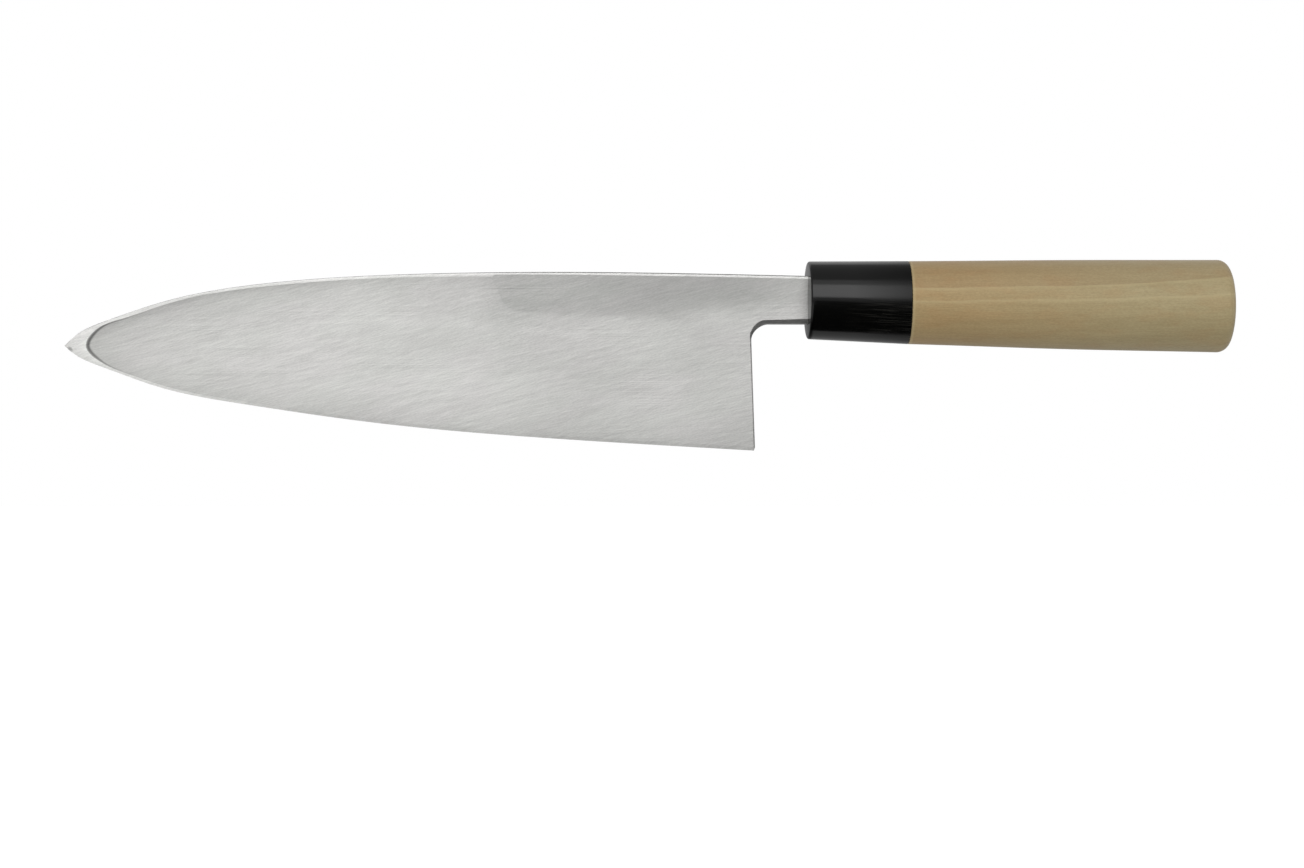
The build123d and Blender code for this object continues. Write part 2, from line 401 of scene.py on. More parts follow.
def wave_tone(points):
    """How much darker each point is for the faint wave: darker above its line, and brighter on it."""
    x, z = points[:, 0], points[:, 1]
    above = z - np.interp(x, *np.transpose(wave_line))
    strength = step_up(x, *wave_start) * (1 - step_up(x, *wave_end))
    darker = wave_shade * ease(above / wave_step + 0.5)
    return strength * (darker - wave_light * np.exp(-((above / wave_width) ** 2)))


def back_shade(points, to_land, below, above, in_hollow):
    """How much darker each point is with painted shade beside the spine, the edge and the land, and near the
    hollow's end.
    """
    start, end = spine_shade_reach
    beside_spine = in_hollow * (1 - step_up(points[:, 0], start - hollow_reach, end - start))
    shade = side_shades[0] * np.exp(-below / side_shade_width)
    shade += side_shades[1] * np.exp(-above / side_shade_width)
    shade += spine_shade * np.exp(-below / spine_shade_width) * beside_spine
    shade += end_shade * near_end(points, end_shade_reach) * in_hollow
    shade += land_shade * np.exp(-to_land / land_shade_reach)
    return shade + wave_tone(points)


def back_finish(points, in_hollow):
    """How honed the back is at each point, how much of the land's finish it has, how much painted shade its
    slope has, and its tone, which is painted shade.
    """
    line_index, to_land = nearest(points, land_line)
    to_blade = nearest(points, blade_line)[1]
    below, above = from_sides(points)
    upper = below < above
    off_rim = in_hollow | (to_land < to_blade)
    land = land_finish(points, line_index, to_land) * off_rim

    honed = np.where(upper, 1, near_end(points, edge_honed_reach)) * ~off_rim
    rise = np.minimum(to_blade / slope_size(points), 1)
    # painted shade on the hollow's slope, fading away from its end
    dark = np.where(upper, near_end(points, spine_slope_reach), near_end(points, edge_slope_reach)) ** 2
    slope = 4 * rise * (1 - rise) * dark * in_hollow
    # the tone is painted shade: beside the spine, the edge and the land, near the hollow's end, and on the
    # strip along the spine
    tone = 1 - back_shade(points, to_land, below, above, in_hollow) * (1 - land)
    tone -= strip_shade * (1 - near_end(points, strip_shade_reach)) * upper * (honed > 0)
    return np.column_stack([honed, land, slope, tone])


# Meshes


def new_object(name, data):
    """An object of the scene."""
    made = bpy.data.objects.new(name, data)
    bpy.context.scene.collection.objects.link(made)
    return made


def new_piece(name, slot, *nodes):
    """An empty piece that rides on the knife and stands for the CAD nodes."""
    piece = new_object(name, bpy.data.meshes.new(name))
    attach(piece, "root")
    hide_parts(*nodes)
    return piece


def add_ring(mesh, ring):
    """A ring's points, in metres, as vertices."""
    return [mesh.verts.new(Vector(point) * MM) for point in ring]


def join_rings(mesh, first, second):
    """A band of faces between two rings of equal length."""
    corners = zip(first, second, second[1:] + second[:1], first[1:] + first[:1])
    return [mesh.faces.new(face) for face in corners]


def at_depth(outline, depths):
    """The outline's points at their depths from the back."""
    return np.column_stack([outline[:, 0], np.broadcast_to(depths, len(outline)), outline[:, 1]])


def on_front(outline, sunk):
    """The outline's points on the leaning front plane, or sunk below it."""
    x, z = outline[:, 0], outline[:, 1]
    lean_x, lean_y = math.cos(front_lean), math.sin(front_lean)
    sunk = np.broadcast_to(sunk, len(outline))
    y = back_y + neck_thickness + x * lean_y - sunk * lean_x
    return np.column_stack([x * lean_x + sunk * lean_y, y, z])


def back_face_points(outline):
    """Points for the back face's mesh, with lines along the hollow's slope, and the edges it must keep."""
    lines = [outline]
    edges = [(i, (i + 1) % len(outline)) for i in range(len(outline))]
    count = len(outline)
    way = np.gradient(hollow_edge, axis=0)
    way /= np.linalg.norm(way, axis=1)[:, None]
    inward = np.column_stack([-way[:, 1], way[:, 0]])
    border, slope = land_blur(np.arange(len(land_line) - 1)), slope_size(blade_line)
    for share in slope_lines:
        away = np.concatenate([border * (share - 0.5), slope * share])
        line = hollow_edge + inward * away[:, None]
        keep = inside(line, outline) & (nearest(line, outline)[1] > outline_clear)
        keep &= nearest(line, hollow_edge)[1] > abs(away) * line_slack[0] - line_slack[1]
        kept = np.flatnonzero(keep)
        lines.append(line[kept])
        edges += [(count + i, count + i + 1) for i in range(len(kept) - 1) if kept[i + 1] == kept[i] + 1]
        count += len(kept)
    low, high = outline.min(axis=0), outline.max(axis=0)
    x, z = np.meshgrid(np.arange(low[0], high[0], grid_spacing), np.arange(low[1], high[1], grid_spacing))
    x = x + grid_spacing / 2 * (np.arange(len(x)) % 2)[:, None]
    grid = np.column_stack([x.ravel(), z.ravel()])
    grid = grid[inside(grid, outline)]
    grid = grid[nearest(grid, np.vstack(lines))[1] > grid_clear]
    return np.vstack([*lines, grid]), edges


def set_finish(mesh, face, finishes):
    """Each corner's finish and painted shade on the mesh's layers: honed, land and the slope's painted shade
    as a colour, and the tone, which is painted shade.
    """
    colour, tone = mesh.loops.layers.float_color["finish"], mesh.loops.layers.float["tone"]
    for loop, finish in zip(face.loops, finishes):
        loop[colour] = (*finish[:3], 1)
        loop[tone] = finish[3]


def add_back_face(mesh, outline):
    """The back face with its hollow, and the finish of each face's corners."""
    points, edges = back_face_points(outline)
    filled = delaunay_2d_cdt([Vector(point) for point in points], edges, [], 0, fill_tolerance)
    found = np.array([tuple(v) for v in filled[0]])
    faces = np.array([face for face in filled[2] if len(face) == 3])
    middles = found[faces].mean(axis=1)
    kept = inside(middles, outline)
    faces, in_hollow = faces[kept], inside(middles[kept], hollow_edge)
    depth = hollow_at(found)
    finishes = back_finish(found, False), back_finish(found, True)
    verts = [mesh.verts.new(Vector((x, back_y + d, z)) * MM) for (x, z), d in zip(found, depth)]
    for face, hollow in zip(faces, in_hollow):
        made = mesh.faces.new([verts[i] for i in face])
        set_finish(mesh, made, [finishes[int(hollow)][i] for i in face])
    loose = [v for v in verts if not v.link_faces]
    bmesh.ops.delete(mesh, geom=loose, context="VERTS")


def add_tang(mesh):
    """The tapered tang, which starts on the weld plane inside the handle."""
    rings = []
    start = (-shoulder_gap, tang_thickness, tang_height)
    end = (tang_length, tang_end_thickness, tang_end_height)
    for x, thickness, height in (start, end):
        y0, y1 = weld_y + weld_gap, weld_y + thickness
        z = height / 2
        rings.append(add_ring(mesh, [(x, y0, -z), (x, y1, -z), (x, y1, z), (x, y0, z)]))
    for face in (*join_rings(mesh, *rings), mesh.faces.new(rings[1]), mesh.faces.new(rings[0])):
        set_finish(mesh, face, [plain_finish] * 4)


def front_easing():
    """How much of the front's eased corner each point of the outline has, which is none along the ridge."""
    eased = np.where(run_of_point == "edge", 0.0, 1.0)
    spine, choil = run_of_point == "spine", run_of_point == "choil"
    eased[spine] *= ease(np.linspace(corner_fades[0], 0, spine.sum()))
    eased[choil] *= ease(np.linspace(0, corner_fades[1], choil.sum()))
    return eased


def blade_shell():
    """The whole steel shell as one closed mesh."""
    heel = (heel_x, -heel_depth)
    koba = [(x, z + koba_height) for x, z in edge_points]
    koba_heel = (choil_x(-heel_depth + koba_height), -heel_depth + koba_height)
    insets = spine_insets, choil_inset, corner_tighter, neck_insets
    back = blade_outline(spine_points, [tip_point, *edge_points, heel], *insets)
    corner = blade_outline(spine_points, [tip_point, *koba, koba_heel])
    upper, lower = spine_points[:-1], [ridge_end, *ridge_points, ridge_start]
    front = blade_outline(upper, lower)
    front_inner = blade_outline(upper, lower, front_chamfer, front_chamfer, neck_in=[front_chamfer] * 2)
    eased = front_easing()
    front_inner = front + (front_inner - front) * eased[:, None]

    mesh = bmesh.new()
    mesh.loops.layers.float_color.new("finish")
    mesh.loops.layers.float.new("tone")
    add_back_face(mesh, back)
    add_tang(mesh)
    through = np.where(np.isin(run_of_point, ["choil", "corner"]), hollow_at(back), 0)
    on_spine = (run_of_point == "spine")[:, None]
    bevel = back + (corner - back) * np.where(on_spine, spine_flat, 0.5)
    bevel_depth = back_y + np.where(run_of_point == "spine", 0, corner_depth / 2) + through
    rings = [  # over the back's eased corner, down the side, and over the front's eased corner
        add_ring(mesh, at_depth(back, back_y + hollow_at(back))),
        add_ring(mesh, at_depth(bevel, bevel_depth)),
        add_ring(mesh, at_depth(corner, corner_y + through)),
        add_ring(mesh, on_front(front, front_chamfer * eased)),
        add_ring(mesh, on_front(front_inner, 0)),
    ]
    edge = {"edge": honed_finish, "corner": shaded_finish, "neck": shaded_finish}
    strip, strip_edge = edge | {"spine": strip_finish_and_shade}, edge | {"spine": strip_edge_finish_and_shade}
    for finishes, first, second in zip((strip, strip_edge, edge, {}), rings, rings[1:]):
        for face, run in zip(join_rings(mesh, first, second), run_of_point):
            set_finish(mesh, face, [finishes.get(run, plain_finish)] * 4)
    front_face = mesh.faces.new(rings[-1])
    set_finish(mesh, front_face, [plain_finish] * len(rings[-1]))
    bmesh.ops.remove_doubles(mesh, verts=mesh.verts, dist=merge_distance)
    bmesh.ops.recalc_face_normals(mesh, faces=mesh.faces)
    return mesh


def cut_at_weld(shell, piece, front_side):
    """The shell's part on one side of the weld, closed there, as the piece's mesh."""
    part = shell.copy()
    cut = bmesh.ops.bisect_plane(
        part,
        geom=[*part.verts, *part.edges, *part.faces],
        dist=cut_tolerance,
        plane_co=(0, weld_y * MM, 0),
        plane_no=(0, 1, 0),
        clear_inner=front_side,
        clear_outer=not front_side,
    )
    rim = [item for item in cut["geom_cut"] if isinstance(item, bmesh.types.BMEdge)]
    bmesh.ops.triangle_fill(part, edges=rim, use_beauty=True)
    bmesh.ops.recalc_face_normals(part, faces=part.faces)
    part.to_mesh(piece.data)
    part.free()
    smooth_piece(piece, steel_sharp_angle)


def smooth_piece(piece, angle):
    """Smooth shading, with edges sharper than the angle kept sharp."""
    piece.data.polygons.foreach_set("use_smooth", [True] * len(piece.data.polygons))
    piece.data.set_sharp_from_angle(angle=math.radians(angle))


def steel_pieces():
    """The hard steel layer and the soft iron layer with its tang."""
    shell = blade_shell()
    hard = new_piece("hard_steel", "hard_steel", "hard_steel_layer")
    soft = new_piece("soft_iron", "soft_iron", "soft_iron_layer")
    cut_at_weld(shell, hard, False)
    cut_at_weld(shell, soft, True)
    shell.free()
    return hard, soft


def oval(size):
    """A handle section in Y and Z: an ellipse, with a soft ridge for the palm on its front."""
    height, middle, width = size
    turn = np.linspace(0, 2 * math.pi, oval_count, endpoint=False)
    y = width / 2 * np.cos(turn)
    z = height / 2 * np.sin(turn)
    from_front = (turn + math.pi) % (2 * math.pi) - math.pi
    lift = np.where(np.cos(turn) > 0, palm_ridge * np.exp(-((from_front / palm_ridge_spread) ** 2)), 0)
    return np.column_stack([y + lift, middle + z])


def between(first, second, share):
    """The oval between two others."""
    return tuple(a + (b - a) * share for a, b in zip(first, second))


def inset_oval(size, inset):
    """The oval made smaller all round."""
    height, middle, width = size
    return (height - 2 * inset, middle, width - 2 * inset)


def scaled_oval(size, share):
    """The oval at a share of its size, about its middle."""
    height, middle, width = size
    return (height * share, middle, width * share)


def butt_section(size, inset):
    """The oval made smaller all round, and less below than above."""
    height, middle, width = inset_oval(size, inset)
    return (height, middle - butt_drop * inset, width)


def section_ring(mesh, x, size, skew=0.0):
    """A handle section at x, with its far side nearer the tip by the skew."""
    section = oval(size)
    lean = skew * (0.5 + section[:, 0] / front_oval[2])
    return add_ring(mesh, np.column_stack([x - lean, section]))


def lathe(piece, stations):
    """A smooth closed mesh through rings, each given as x, oval size and skew, with flat ends."""
    mesh = bmesh.new()
    rings = [section_ring(mesh, *station) for station in stations]
    for first, second in zip(rings, rings[1:]):
        join_rings(mesh, first, second)
    mesh.faces.new(rings[0])
    mesh.faces.new(rings[-1])
    bmesh.ops.recalc_face_normals(mesh, faces=mesh.faces)
    mesh.to_mesh(piece.data)
    mesh.free()
    smooth_piece(piece, handle_sharp_angle)


def ferrule_piece():
    """The black ferrule, with a slightly crowned front face and eased corners."""
    piece = new_piece("horn_ferrule", "black_horn", "ferrule")
    face_oval = inset_oval(front_oval, ferrule_chamfer)
    stations = []
    for share in face_rings:
        face = scaled_oval(face_oval, share)
        stations.append((-face_crown * (1 - share**2), face, face_skew))
    for turn in np.linspace(0, math.pi / 2, chamfer_turns)[1:]:
        inset = ferrule_chamfer * (1 - math.sin(turn))
        stations.append((ferrule_chamfer * (1 - math.cos(turn)), inset_oval(front_oval, inset), face_skew))
    for share in np.linspace(ferrule_chamfer_share, 1 - joint_chamfer / ferrule_length, ferrule_rings):
        stations.append((ferrule_length * share, between(front_oval, joint_oval, share), 0))
    stations.append((ferrule_length, inset_oval(joint_oval, joint_chamfer), 0))
    lathe(piece, stations)
    return piece


def crown_drop(radius):
    """How far the butt's crowned end lies before its middle at a distance from it."""
    crown_radius = ((butt_oval[0] / 2) ** 2 + butt_crown**2) / (2 * butt_crown)
    return crown_radius - math.sqrt(crown_radius**2 - radius**2)


def handle_piece():
    """The wooden grip, with a crowned end and a rounded rim."""
    piece = new_piece("wood_handle", "magnolia_wood", "handle")
    length = handle_length - ferrule_length
    rim = handle_length - crown_drop(butt_oval[0] / 2 - butt_round)
    stations = [(ferrule_length, inset_oval(joint_oval, joint_chamfer), 0)]
    rim_share = (rim - butt_round - ferrule_length) / length
    for share in np.linspace(joint_chamfer / length, rim_share, handle_rings):
        height, middle, width = between(joint_oval, butt_oval, share)
        swell = math.sin(math.pi * share) ** 2
        size = (height + handle_swell[0] * swell, middle + handle_swell[1] * swell, width)
        stations.append((ferrule_length + length * share, size, 0))
    for turn in np.linspace(0, math.pi / 2, rim_turns)[1:]:
        x = rim - butt_round * (1 - math.sin(turn))
        inset = butt_round * (1 - math.cos(turn))
        size = between(joint_oval, butt_oval, (x - ferrule_length) / length)
        stations.append((x, butt_section(size, inset), 0))
    for share in butt_rings:
        x = handle_length - crown_drop((butt_oval[0] / 2 - butt_round) * share)
        stations.append((x, scaled_oval(butt_section(butt_oval, butt_round), share), 0))
    lathe(piece, stations)
    return piece


# Materials, in metres

grain_roughness = 0.55
# Two colours in soft patches, slant of the scratches in degrees, brightness where honed, which on the hard
# steel is partly a painted highlight, roughness where ground, and roughness where honed
steel_look = (((0.656, 0.658, 0.638, 1), (0.662, 0.657, 0.643, 1)), -12.5, 1.45, 0.54, 0.3)
iron_look = (((0.62, 0.62, 0.61, 1), (0.62, 0.62, 0.61, 1)), 0, 0.8, 0.42, 0.5)
land_share = 0.68  # how bright the land is, and the slope at the hollow's end with its painted shade, against the hollow
slope_share = 0.28
scratch_layers = (  # size along X, Y and Z, share of the slant, detail, and weight in the tone
    ((0.0075, 0.006, 0.00024), 1.0, 2.0, 0.5),  # fine scratches
    ((0.005, 0.004, 0.00024), 2.2, 2.0, 0.45),  # steeper ones
    ((0.0007, 0.0007, 0.0004), 1.0, 1.0, 0.3),  # specks
    ((0.018, 0.01, 0.0011), 1.3, 2.0, 0.2),  # coarse scratches
    ((0.06, 0.05, 0.02), 0.0, 2.0, 0.35),  # clouds
)
lined_size = (0.045, 0.01, 0.00022)  # of the long lines along the blade, and of their patches
lined_patch_size = (0.035, 0.03, 0.008)
lined_patch_range = (0.5, 0.7)  # the noise where a patch starts, and where it is strongest
lined_weight = 0.8
warm_size = (0.03, 0.03, 0.012)  # of the patches in the second colour
warm_range = (0.4, 0.6)
tone_range = (0.55, 1.25)  # of the scratches, and the brightness that it becomes
light_range = (0.7, 1.3)
rough_spread = 0.04  # how much rougher the brighter scratches are, and how much smoother the darker ones
steel_relief = (0.05, 0.00002)  # strength and depth
speck_place = (-0.2404, 0, -0.0160)  # a dark speck at the edge beside the tip
speck_slant = math.radians(35)
speck_size = (0.0009, 0.02, 0.0006)
speck_fade = (1.3, 0.6)  # shares of its size where it ends, and where it is full
speck_strength = 0.6
speck_colour = (0.2, 0.2, 0.195, 1)

horn_black = (0.0008, 0.0009, 0.0007, 1)
horn_streak = (0.012, 0.0115, 0.010, 1)
streak_size = (0.014, 0.0004, 0.0004)
streak_turn = 3  # in degrees
streak_range = (0.5, 0.62)
streak_heights = (0.001, -0.003)  # the streaks come in between these heights, and along the ferrule
streak_reach = (0.010, 0.022)
streak_rough_range = (0.3, 0.8)  # of the streaks' noise, and the roughness that it becomes
horn_roughness = (0.10, 0.20)
horn_gloss = (0.5, 0.26)  # specular level at the blade's end, and at the wood
worn_reach = (0.014, 0.0325)  # where it gets duller towards the wood, and by how much rougher
worn_roughness = 0.12
face_reach = (0.0012, 0.0004)  # where the front face is, and the heights where it gets duller
face_heights = (-0.0055, -0.008)
face_dull = 0.455  # how much less its specular level is there
horn_ior = 1.46
horn_relief = (0.05, 0.00003)  # strength and depth, as for the steel

wood_dark = (0.378, 0.303, 0.158, 1)
wood_light = (0.456, 0.373, 0.205, 1)
wood_warm = (1.0, 0.89, 0.79, 1)  # tints, by which the wood is multiplied: near the ferrule
wood_above = (0.93, 0.90, 0.90, 1)  # above the growth line
wood_low_painted_shade = (0.86, 0.85, 0.82, 1)  # painted shade, low on the handle
wood_pink = (1.0, 0.955, 0.93, 1)  # in blotches
wood_line = (0.560, 0.470, 0.260, 1)
wood_pore = (0.220, 0.160, 0.080, 1)
growth_lines = (  # height at the ferrule, lean, bend and half width
    (0.00345, -0.012, 0.43, 0.0003),
    (-0.00095, 0.0, 0.2, 0.0004),
)
wood_layers = (  # size along X, Y and Z, turn in degrees, detail, and weight in the tone
    ((0.009, 0.00035, 0.00035), 0, 3.0, 0.4),  # fibres
    ((0.0009, 0.0004, 0.0004), 0, 1.0, 0.5),  # specks
    ((0.07, 0.004, 0.0022), -1.2, 2.0, 0.4),  # bands
)
wood_tone_range = (0.50, 0.80)
noise_range = (0.3, 0.7)  # where most of a grain's values lie
pore_size = (0.0022, 0.00012, 0.00012)
pore_range = (0.62, 0.75)
blotch_size = (0.012, 0.006, 0.004)
blotch_range = (0.48, 0.62)
warm_reach = (0.045, 0.105)  # along the handle, where the warm tint fades
painted_shade_heights = (-0.001, -0.010)  # where the painted shade low on the handle comes in
joint_line = (0.0011, 0.0003)  # where a paler line beside the ferrule ends, and where it is full
waver_size = (0.03, 0.03, 0.03)
line_waver = 0.00025
line_strength = 0.3
pore_strength = 0.25
joint_strength = 0.35
wood_roughness = (0.62, 0.5)
wood_specular = 0.35
wood_sheen = 0.2
fibre_height = 0.6  # shares of the wood's relief
pore_depth = 0.4
wood_relief = (0.2, 0.00005)


def new_material(name):
    """A material with its node tree and shader."""
    material = bpy.data.materials.new(name)
    material.use_nodes = True
    return material, material.node_tree, material.node_tree.nodes["Principled BSDF"]


def set_inputs(tree, made, inputs):
    """A node's inputs: a value for each, or the socket that feeds it."""
    for name, value in inputs.items():
        if isinstance(value, bpy.types.NodeSocket):
            tree.links.new(value, made.inputs[name])
        else:
            made.inputs[name].default_value = value


def node(tree, kind, inputs, **settings):
    """The outputs of a new node with these settings and inputs."""
    made = tree.nodes.new(kind)
    for name, value in settings.items():
        setattr(made, name, value)
    set_inputs(tree, made, inputs)
    return made.outputs


def object_place(tree):
    """The place in metres on the knife."""
    return node(tree, "ShaderNodeTexCoord", {})["Object"]


def local_place(tree, size, turn, start=(0, 0, 0)):
    """The place from a start, in steps of a size along X, Y and Z, turned in the plane of the blade."""
    inputs = {"Vector": object_place(tree), "Location": start, "Rotation": (0, turn, 0), "Scale": size}
    return node(tree, "ShaderNodeMapping", inputs, vector_type="TEXTURE")[0]


def grain(tree, size, turn=0.0, detail=4.0):
    """Noise whose specks have the given size in metres along X, Y and Z, turned in the plane of the blade."""
    place = local_place(tree, size, math.radians(turn))
    inputs = {"Vector": place, "Scale": 1.0, "Detail": detail, "Roughness": grain_roughness}
    return node(tree, "ShaderNodeTexNoise", inputs)["Fac"]


def layered_grain(tree, layers, slant=1.0):
    """The grain of each layer, with its weight."""
    return [(grain(tree, size, turn * slant, detail), weight) for size, turn, detail, weight in layers]


def ramp(tree, factor, low, high, start=0.0, end=1.0):
    """A factor spread from low to high."""
    inputs = {"Value": factor, "From Min": low, "From Max": high, "To Min": start, "To Max": end}
    return node(tree, "ShaderNodeMapRange", inputs)[0]


def mix_colour(tree, factor, first, second, how="MIX"):
    """Two colours mixed by a factor."""
    inputs = {0: factor, 6: first, 7: second}  # the node's colour sockets
    return node(tree, "ShaderNodeMix", inputs, data_type="RGBA", blend_type=how)[2]


def tinted(tree, factor, shade, tint):
    """A shade multiplied by a tint, as far as the factor says."""
    return mix_colour(tree, factor, shade, mix_colour(tree, 1.0, shade, tint, "MULTIPLY"))


def relief(tree, height, strength, depth):
    """A normal with fine relief from a factor, with its depth in metres."""
    inputs = {"Strength": strength, "Distance": depth, "Height": height}
    return node(tree, "ShaderNodeBump", inputs)[0]


def combine(tree, operation, first, second):
    """Two factors, or a factor and a number, combined."""
    return node(tree, "ShaderNodeMath", {0: first, 1: second}, operation=operation)[0]


def times(tree, first, second):
    """The product of two factors, or of a factor and a number."""
    return combine(tree, "MULTIPLY", first, second)


def distance(tree, place):
    """How far a place lies from its zero."""
    return node(tree, "ShaderNodeVectorMath", {0: place}, operation="LENGTH")["Value"]


def total(tree, *terms):
    """The sum of factors, each given with its weight."""
    result, *others = [times(tree, factor, weight) for factor, weight in terms]
    for factor in others:
        result = combine(tree, "ADD", result, factor)
    return result


def finish_layers(tree):
    """The four factors of the steel's finish and painted shade: honed, land, the end slope's painted shade,
    and the tone, which is painted shade.
    """
    layer = node(tree, "ShaderNodeAttribute", {}, attribute_name="finish")["Color"]
    parts = node(tree, "ShaderNodeSeparateColor", {"Color": layer})
    tone = node(tree, "ShaderNodeAttribute", {}, attribute_name="tone")["Fac"]
    return parts["Red"], parts["Green"], parts["Blue"], tone


def place_along(tree, axis):
    """The distance in metres along an axis of the knife."""
    return node(tree, "ShaderNodeSeparateXYZ", {"Vector": object_place(tree)})[axis]


def scratch_tone(tree, slant):
    """The fine scratches, and the tone of all layers with the patches of long lines."""
    layers = layered_grain(tree, scratch_layers, slant)
    lines = combine(tree, "SUBTRACT", grain(tree, lined_size, 0, 2.0), 0.5)
    patches = ramp(tree, grain(tree, lined_patch_size, 0, 1.0), *lined_patch_range)
    lined = times(tree, lines, patches)
    return layers[0][0], total(tree, *layers, (lined, lined_weight))


def tip_speck(tree):
    """A small dark speck at the edge beside the tip, slanted along the edge."""
    away = distance(tree, local_place(tree, speck_size, speck_slant, speck_place))
    return times(tree, ramp(tree, away, *speck_fade), speck_strength)


def steel_material(name, colours, slant, honed_share, ground_rough, honed_rough):
    """Ground steel with scratches at a slant, and with other finishes and painted shade where its mesh layers
    say.
    """
    material, tree, shader = new_material(name)
    fine, tone = scratch_tone(tree, slant)
    warm = ramp(tree, grain(tree, warm_size, slant, 2.0), *warm_range)
    tint = {0: mix_colour(tree, warm, *colours), "Scale": ramp(tree, tone, *tone_range, *light_range)}
    shade = node(tree, "ShaderNodeVectorMath", tint, operation="SCALE")[0]
    honed, land, slope, dulling_and_painted_shade = finish_layers(tree)
    # darkened where the tone layer says: painted shade
    shade = mix_colour(tree, dulling_and_painted_shade, (0, 0, 0, 1), shade)
    # the slope's darker share is painted shade
    for factor, share in ((land, land_share), (slope, slope_share), (honed, honed_share)):
        shade = tinted(tree, factor, shade, (share, share, share, 1))
    rough = ramp(tree, tone, *tone_range, ground_rough - rough_spread, ground_rough + rough_spread)
    look = {
        "Base Color": mix_colour(tree, tip_speck(tree), shade, speck_colour),
        "Metallic": 1.0,
        "Roughness": ramp(tree, honed, 0, 1, rough, honed_rough),
        "Normal": relief(tree, fine, *steel_relief),
    }
    set_inputs(tree, shader, look)
    return material


def horn_material():
    """Polished black horn with faint streaks low down, duller towards the wood and low on its face."""
    material, tree, shader = new_material("black_horn")
    streaks = grain(tree, streak_size, streak_turn)
    along, up = place_along(tree, "X"), place_along(tree, "Z")
    place = times(tree, ramp(tree, up, *streak_heights), ramp(tree, along, *streak_reach))
    streaked = times(tree, ramp(tree, streaks, *streak_range), place)
    rough = ramp(tree, streaks, *streak_rough_range, *horn_roughness)
    dulling_and_painted_shade = ramp(tree, along, *worn_reach)
    gloss = ramp(tree, dulling_and_painted_shade, 0, 1, *horn_gloss)
    dull = times(tree, ramp(tree, along, *face_reach), ramp(tree, up, *face_heights))
    look = {
        "Base Color": mix_colour(tree, streaked, horn_black, horn_streak),
        "Roughness": total(tree, (rough, 1.0), (dulling_and_painted_shade, worn_roughness)),
        "Specular IOR Level": total(tree, (gloss, 1.0), (dull, -face_dull)),
        "IOR": horn_ior,
        "Normal": relief(tree, streaks, *horn_relief),
    }
    set_inputs(tree, shader, look)
    return material


def growth_line(tree, base, lean, bend, width):
    """1 below a growth line and 0 above it, and a thin peak on it. It bends up along the handle."""
    away = combine(tree, "SUBTRACT", place_along(tree, "X"), ferrule_length * MM)
    rise = times(tree, combine(tree, "ADD", times(tree, away, bend), lean), away)
    line = combine(tree, "ADD", rise, base)
    waver = ramp(tree, grain(tree, waver_size, 0, 1.0), *noise_range, -line_waver, line_waver)
    above = combine(tree, "ADD", combine(tree, "SUBTRACT", place_along(tree, "Z"), line), waver)
    below = ramp(tree, above, width, -width)
    peak = times(tree, ramp(tree, above, width, 0), ramp(tree, above, -3 * width, 0))
    return below, peak


def wood_material():
    """Bare sanded magnolia with growth lines, fine lengthwise grain and short pores."""
    material, tree, shader = new_material("magnolia_wood")
    layers = layered_grain(tree, wood_layers)
    fibres = layers[0][0]
    shade = mix_colour(tree, ramp(tree, total(tree, *layers), *wood_tone_range), wood_dark, wood_light)
    pores = ramp(tree, grain(tree, pore_size, 0, 1.0), *pore_range)
    (below, peak), (_, lower_peak) = [growth_line(tree, *line) for line in growth_lines]
    along, up = place_along(tree, "X"), place_along(tree, "Z")
    joint = ramp(tree, along, *[ferrule_length * MM + away for away in joint_line])
    tints = (
        (ramp(tree, grain(tree, blotch_size, 0, 2.0), *blotch_range), wood_pink),
        (ramp(tree, along, *warm_reach, 1, 0), wood_warm),
        (ramp(tree, below, 0, 1, 1, 0), wood_above),
        # painted shade low on the handle
        (ramp(tree, up, *painted_shade_heights), wood_low_painted_shade),
    )
    for factor, tint in tints:
        shade = tinted(tree, factor, shade, tint)
    marks = (
        (total(tree, (peak, line_strength), (lower_peak, line_strength)), wood_line),
        (times(tree, pores, pore_strength), wood_pore),
        (times(tree, joint, joint_strength), wood_line),
    )
    for factor, colour in marks:
        shade = mix_colour(tree, factor, shade, colour)
    look = {
        "Base Color": shade,
        "Roughness": ramp(tree, fibres, *noise_range, *wood_roughness),
        "Specular IOR Level": wood_specular,
        "Sheen Weight": wood_sheen,
        "Normal": relief(tree, total(tree, (fibres, fibre_height), (pores, -pore_depth)), *wood_relief),
    }
    set_inputs(tree, shader, look)
    return material


# Studio, in metres

white = (1, 1, 1, 1)
room_light = (0.4, 0.4, 0.4, 1)
floor_height = -0.3
floor_corners = ((-6, -6), (6, 6))
floor_surface = (0.3, ((0.84, 0.84, 0.84, 1), (0.88, 0.88, 0.88, 1)), 0.9, 0.1)  # as for set_speckled
glow_reach = (0.3, 0.6)  # where the camera starts to see the floor turn white, and where it is white
glow_strength = (0.46, 1.0)  # how strongly it glows there
card_height = -0.12
card_corners = ((-0.06, -3.0), (1.6, 0.005))
card_surface = (0.01, ((0.01, 0.01, 0.01, 1), (0.03, 0.03, 0.03, 1)), 1.0, 0.5)
camera_place = (-0.05125, -0.616, -0.0436)
camera_lens = 52.0  # in millimetres, as is the next
camera_sensor = 36.0
camera_near = 0.01
softboxes = (  # name, place, size and brightness
    ("front_softbox", (-0.05, -1.54, 0.67), (2.4, 1.0), 1.9),
    ("upper_softbox", (-0.05, -1.16, 1.24), (2.4, 0.42), 0.6),
    ("back_softbox", (0, 1.1, 1.0), (2.0, 0.8), 0.45),
)


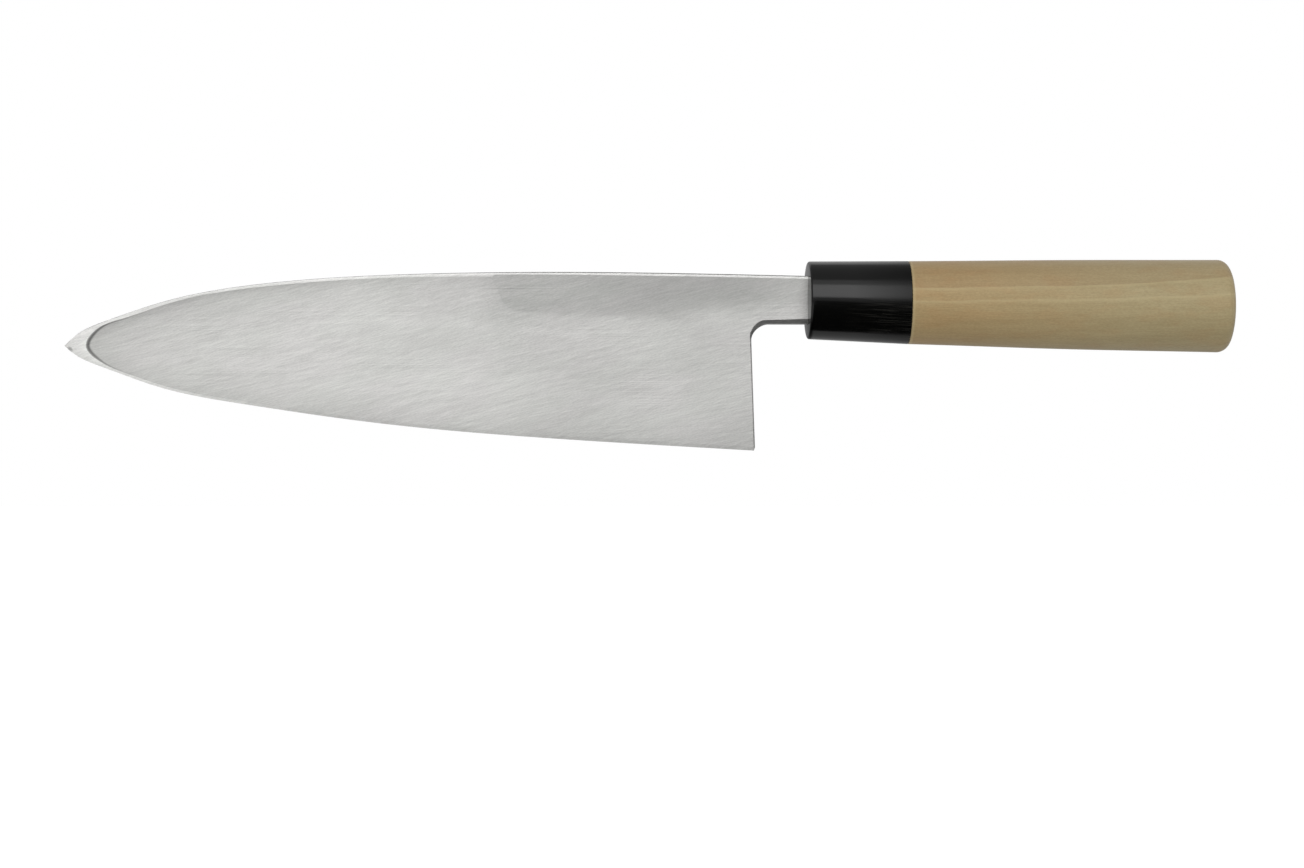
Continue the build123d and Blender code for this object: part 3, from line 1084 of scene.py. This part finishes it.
def studio_world():
    """White behind the knife for the camera, and soft grey light from all round."""
    world = bpy.data.worlds.new("studio")
    bpy.context.scene.world = world
    world.use_nodes = True
    tree = world.node_tree
    seen = node(tree, "ShaderNodeLightPath", {})["Is Camera Ray"]
    shade = mix_colour(tree, seen, room_light, white)
    set_inputs(tree, tree.nodes["Background"], {"Color": shade})


def add_softbox(name, place, size, brightness):
    """A rectangular lamp that faces the ferrule. Its brightness is what a mirror shows, where 1 is white."""
    data = bpy.data.lights.new(name, "AREA")
    data.shape = "RECTANGLE"
    data.size, data.size_y = size
    data.energy = brightness * math.pi * size[0] * size[1]
    box = new_object(name, data)
    box.location = place
    box.rotation_euler = (-Vector(place)).to_track_quat("-Z", "Y").to_euler()
    box.visible_camera = False


def studio_camera():
    """The camera, square to the blade's back, at the photograph's distance."""
    data = bpy.data.cameras.new("camera")
    data.lens = camera_lens
    data.sensor_width = camera_sensor
    data.clip_start = camera_near
    camera = new_object("camera", data)
    camera.location = camera_place
    camera.rotation_euler = (math.pi / 2, 0, 0)
    bpy.context.scene.camera = camera


def add_plane(name, corners, z):
    """A level rectangle between two corners at height z, which isn't part of the knife."""
    (x0, y0), (x1, y1) = corners
    plane = new_object(name, bpy.data.meshes.new(name))
    plane.data.from_pydata([(x0, y0, z), (x1, y0, z), (x1, y1, z), (x0, y1, z)], [], [(0, 1, 2, 3)])
    return plane


def set_speckled(tree, shader, size, shades, roughness, specular):
    """A rough surface speckled in two shades."""
    shade = mix_colour(tree, grain(tree, (size, size, size)), *shades)
    set_inputs(tree, shader, {"Base Color": shade, "Roughness": roughness, "Specular IOR Level": specular})


def studio_floor():
    """A wide pale floor, well below the knife. The camera sees it turn white away from the shadow."""
    floor = add_plane("floor", floor_corners, floor_height)
    material, tree, shader = new_material("floor")
    set_speckled(tree, shader, *floor_surface)
    on_plan = {0: object_place(tree), 1: (1, 1, 0)}
    away = distance(tree, node(tree, "ShaderNodeVectorMath", on_plan, operation="MULTIPLY")[0])
    seen = node(tree, "ShaderNodeLightPath", {})["Is Camera Ray"]
    strength = times(tree, ramp(tree, away, *glow_reach, *glow_strength), seen)
    glow = node(tree, "ShaderNodeEmission", {"Color": white, "Strength": strength})[0]
    both = node(tree, "ShaderNodeAddShader", {0: shader.outputs[0], 1: glow})[0]
    set_inputs(tree, tree.nodes["Material Output"], {"Surface": both})
    floor.data.materials.append(material)


def black_card():
    """A dark card in front of the handle and below it, which only reflections see."""
    card = add_plane("black_card", card_corners, card_height)
    card.visible_camera = card.visible_diffuse = card.visible_shadow = card.visible_transmission = False
    material, tree, shader = new_material("black_card")
    set_speckled(tree, shader, *card_surface)
    card.data.materials.append(material)


hard, soft = steel_pieces()
ferrule = ferrule_piece()
handle = handle_piece()
hard.data.materials.append(steel_material("hard_steel", *steel_look))
soft.data.materials.append(steel_material("soft_iron", *iron_look))
ferrule.data.materials.append(horn_material())
handle.data.materials.append(wood_material())

studio_world()
studio_floor()
black_card()
studio_camera()
bpy.context.scene.view_settings.view_transform = "Standard"
for settings in softboxes:
    add_softbox(*settings)
